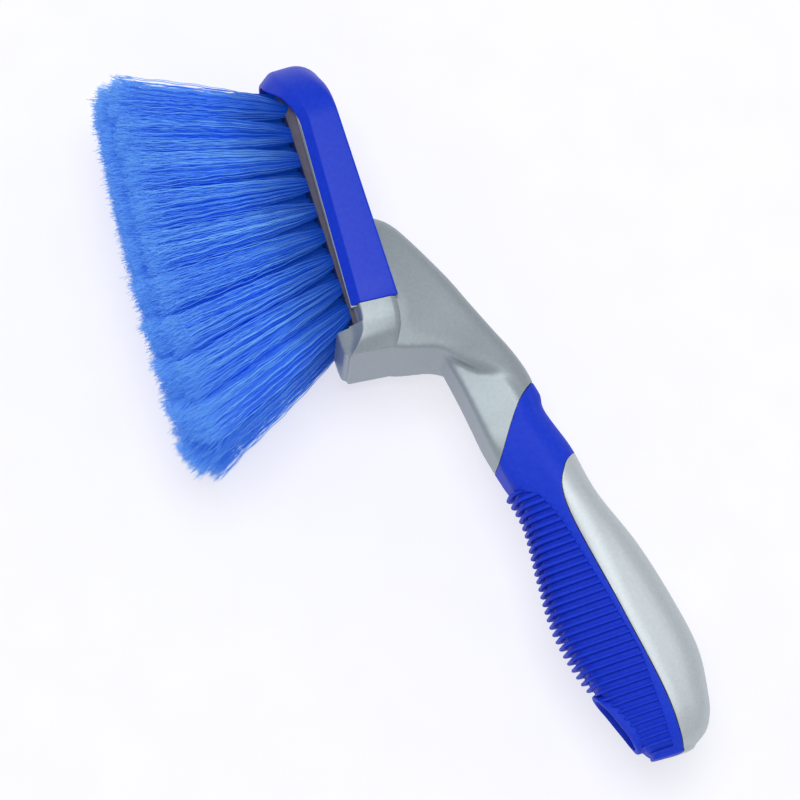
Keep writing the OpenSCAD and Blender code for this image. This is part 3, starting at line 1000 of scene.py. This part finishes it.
# Colour sockets of the Mix node
MIX_A = 6
MIX_B = 7
MIX_RESULT = 2


def linear(rgb):
    """Screen colour, 0 to 255, to linear."""
    v = np.asarray(rgb, float) / 255
    return tuple(np.where(v <= 0.04045, v / 12.92, ((v + 0.055) / 1.055) ** 2.4)) + (1.0,)


def shader(name, roughness, metallic=0.0, specular=0.5):
    """A new material, with its node tree and its Principled node."""
    material = bpy.data.materials.new(name)
    material.use_nodes = True
    principled = material.node_tree.nodes["Principled BSDF"]
    principled.inputs["Roughness"].default_value = roughness
    principled.inputs["Metallic"].default_value = metallic
    principled.inputs["Specular IOR Level"].default_value = specular
    return material, material.node_tree, principled


def two_tones(tree, dark, light):
    """Colour ramp from dark to light."""
    ramp = tree.nodes.new("ShaderNodeValToRGB")
    ramp.color_ramp.elements[0].color = linear(dark)
    ramp.color_ramp.elements[1].color = linear(light)
    return ramp


def speckled(name, dark, light, scale, roughness, metallic=0.0, specular=0.5):
    """Moulded plastic: two close tones mixed by fine noise."""
    material, tree, principled = shader(name, roughness, metallic, specular)
    coordinates = tree.nodes.new("ShaderNodeTexCoord")
    noise = tree.nodes.new("ShaderNodeTexNoise")
    noise.inputs["Scale"].default_value = scale
    noise.inputs["Detail"].default_value = SPECKLE_DETAIL
    ramp = two_tones(tree, dark, light)
    ramp.color_ramp.elements[0].position = SPECKLE_BAND[0]
    ramp.color_ramp.elements[1].position = SPECKLE_BAND[1]
    tree.links.new(coordinates.outputs["Object"], noise.inputs["Vector"])
    tree.links.new(noise.outputs["Fac"], ramp.inputs["Fac"])
    tree.links.new(ramp.outputs["Color"], principled.inputs["Base Color"])
    return material


def mesh_value(tree, name):
    """The value of that name, stored on the points of the mesh."""
    attribute = tree.nodes.new("ShaderNodeAttribute")
    attribute.attribute_name = name
    return attribute.outputs["Fac"]


def bristle_material():
    """Each filament has its own tint, with painted shade darkening it towards its root, where the tufts shade
    one another, and pale at its split tip.
    """
    material, tree, principled = shader("bristle_filament", roughness=0.4, specular=0.22)
    ramp = two_tones(tree, BRISTLE_DARK, BRISTLE_LIGHT)
    tree.links.new(mesh_value(tree, "tint"), ramp.inputs["Fac"])
    along = mesh_value(tree, "along")
    near_tip = tree.nodes.new("ShaderNodeMath")
    near_tip.operation = "POWER"
    near_tip.inputs[1].default_value = TIP_POWER
    tree.links.new(along, near_tip.inputs[0])
    tips = tree.nodes.new("ShaderNodeMix")
    tips.data_type = "RGBA"
    tips.inputs[MIX_B].default_value = linear(TIP_COLOUR)
    tree.links.new(near_tip.outputs[0], tips.inputs[0])
    tree.links.new(ramp.outputs["Color"], tips.inputs[MIX_A])
    # Painted shade: the tint is mixed towards a deep blue near each filament's root
    root_shade_fade = tree.nodes.new("ShaderNodeMapRange")
    root_shade_fade.inputs["From Max"].default_value = ROOT_SHADE_REACH
    tree.links.new(along, root_shade_fade.inputs["Value"])
    roots = tree.nodes.new("ShaderNodeMix")
    roots.data_type = "RGBA"
    roots.inputs[MIX_A].default_value = linear(ROOT_SHADE_COLOUR)
    tree.links.new(root_shade_fade.outputs["Result"], roots.inputs[0])
    tree.links.new(tips.outputs[MIX_RESULT], roots.inputs[MIX_B])
    tree.links.new(roots.outputs[MIX_RESULT], principled.inputs["Base Color"])
    principled.inputs["Emission Color"].default_value = linear(GLOW_COLOUR)
    principled.inputs["Emission Strength"].default_value = GLOW
    return material


silver = speckled("silver_moulding", dark=(152, 162, 167), light=(160, 170, 175), scale=900,
                  roughness=0.48, metallic=0.4)
cover = speckled("silver_cover", dark=(190, 198, 201), light=(198, 206, 209), scale=900,
                 roughness=0.5, metallic=0.35)
grip_blue = speckled("grip_rubber", dark=(16, 54, 205), light=(24, 62, 212), scale=600,
                     roughness=0.6, specular=0.2)
bumper_blue = speckled("bumper_rubber", dark=(4, 50, 200), light=(12, 58, 208), scale=600,
                       roughness=0.45, specular=0.25)
block_grey = speckled("block_plastic", dark=(84, 80, 94), light=(94, 90, 104), scale=500, roughness=0.5)
bristle = bristle_material()

# ---------------------------------------------------------------- pieces

body = handle_body()
soften(body, 0.0)
finish_piece(body, ["handle_body"], silver)
panel = back_cover()
soften(panel, EDGE_ROUND)
finish_piece(panel, ["back_cover"], cover)
sleeve = grip_sleeve()
shade(sleeve)
finish_piece(sleeve, ["grip_sleeve"], grip_blue)
band = head_bumper()
shade(band)
finish_piece(band, ["head_bumper"], bumper_blue)
plate = tuft_block()
shade(plate)
finish_piece(plate, ["tuft_block"], block_grey)

rng = np.random.default_rng(SEED)
for number, place in enumerate(tuft_places(), 1):
    piece = tuft(number, place, rng)
    finish_piece(piece, [f"tuft_{number:02d}"], bristle)

wire = speckled("anchor_wire", dark=(180, 180, 182), light=(205, 205, 207), scale=1200,
                roughness=0.35, metallic=1.0)
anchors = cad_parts["tuft_anchors"]
anchors.data.materials.clear()
anchors.data.materials.append(wire)

# ---------------------------------------------------------------- stage

def camera():
    """Looks at the brush from 12 degrees off straight down, from the handle's bristle side."""
    target = Vector(placed([9.9, -17.64, 0.0]))
    distance = 1.1
    elevation = math.radians(78.0)
    azimuth = math.radians(-120.5)
    roll = math.radians(12.95)
    focal_length = 135.2
    level = math.cos(elevation)
    back = Vector((level * math.cos(azimuth), level * math.sin(azimuth), math.sin(elevation)))
    right = Vector((0, 0, 1)).cross(back).normalized()
    up = back.cross(right)
    turned_right = right * math.cos(roll) + up * math.sin(roll)
    turned_up = up * math.cos(roll) - right * math.sin(roll)
    rotation = Matrix((turned_right, turned_up, back)).transposed()
    data = bpy.data.cameras.new("camera")
    data.sensor_width = 36.0
    data.lens = focal_length
    data.clip_end = 20.0
    obj = bpy.data.objects.new("camera", data)
    obj.matrix_world = Matrix.Translation(target + back * distance) @ rotation.to_4x4()
    bpy.context.scene.collection.objects.link(obj)
    bpy.context.scene.camera = obj


def floor():
    """White paper just below the CAD's lowest point, bright enough to lose its edges."""
    size = 3.0
    drop = 0.0002
    glow_strength = 0.64
    mesh = bpy.data.meshes.new("floor")
    corners = [(-size, -size, 0), (size, -size, 0), (size, size, 0), (-size, size, 0)]
    mesh.from_pydata(corners, [], [(0, 1, 2, 3)])
    obj = bpy.data.objects.new("floor", mesh)
    bpy.context.scene.collection.objects.link(obj)
    obj.location.z = -drop
    paper = speckled("floor_paper", dark=(170, 170, 174), light=(174, 174, 178), scale=40,
                     roughness=0.9, specular=0.0)
    glow = paper.node_tree.nodes["Principled BSDF"]
    glow.inputs["Emission Color"].default_value = (0.96, 0.955, 0.99, 1.0)
    glow.inputs["Emission Strength"].default_value = glow_strength
    obj.data.materials.append(paper)


def area_light(name, position, target, size, power, color):
    """Square light in metres and watts, turned towards the target."""
    data = bpy.data.lights.new(name, "AREA")
    data.shape = "SQUARE"
    data.size = size
    data.energy = power
    data.color = color
    obj = bpy.data.objects.new(name, data)
    obj.location = position
    obj.rotation_euler = (Vector(target) - Vector(position)).to_track_quat("-Z", "Y").to_euler()
    bpy.context.scene.collection.objects.link(obj)


def stage():
    """Camera, floor, one soft light from above and an even surround."""
    camera()
    floor()
    area_light("overhead", position=(-0.02, 0.15, 1.6), target=(0, 0, 0), size=0.7, power=12.0,
               color=(1, 1, 1))
    world = bpy.data.worlds.new("studio")
    world.use_nodes = True
    background = world.node_tree.nodes["Background"]
    background.inputs["Color"].default_value = (0.95, 0.96, 1.0, 1.0)
    background.inputs["Strength"].default_value = 0.5
    bpy.context.scene.world = world
    bpy.context.scene.view_settings.view_transform = "Standard"
    bpy.context.scene.view_settings.look = "None"


stage()
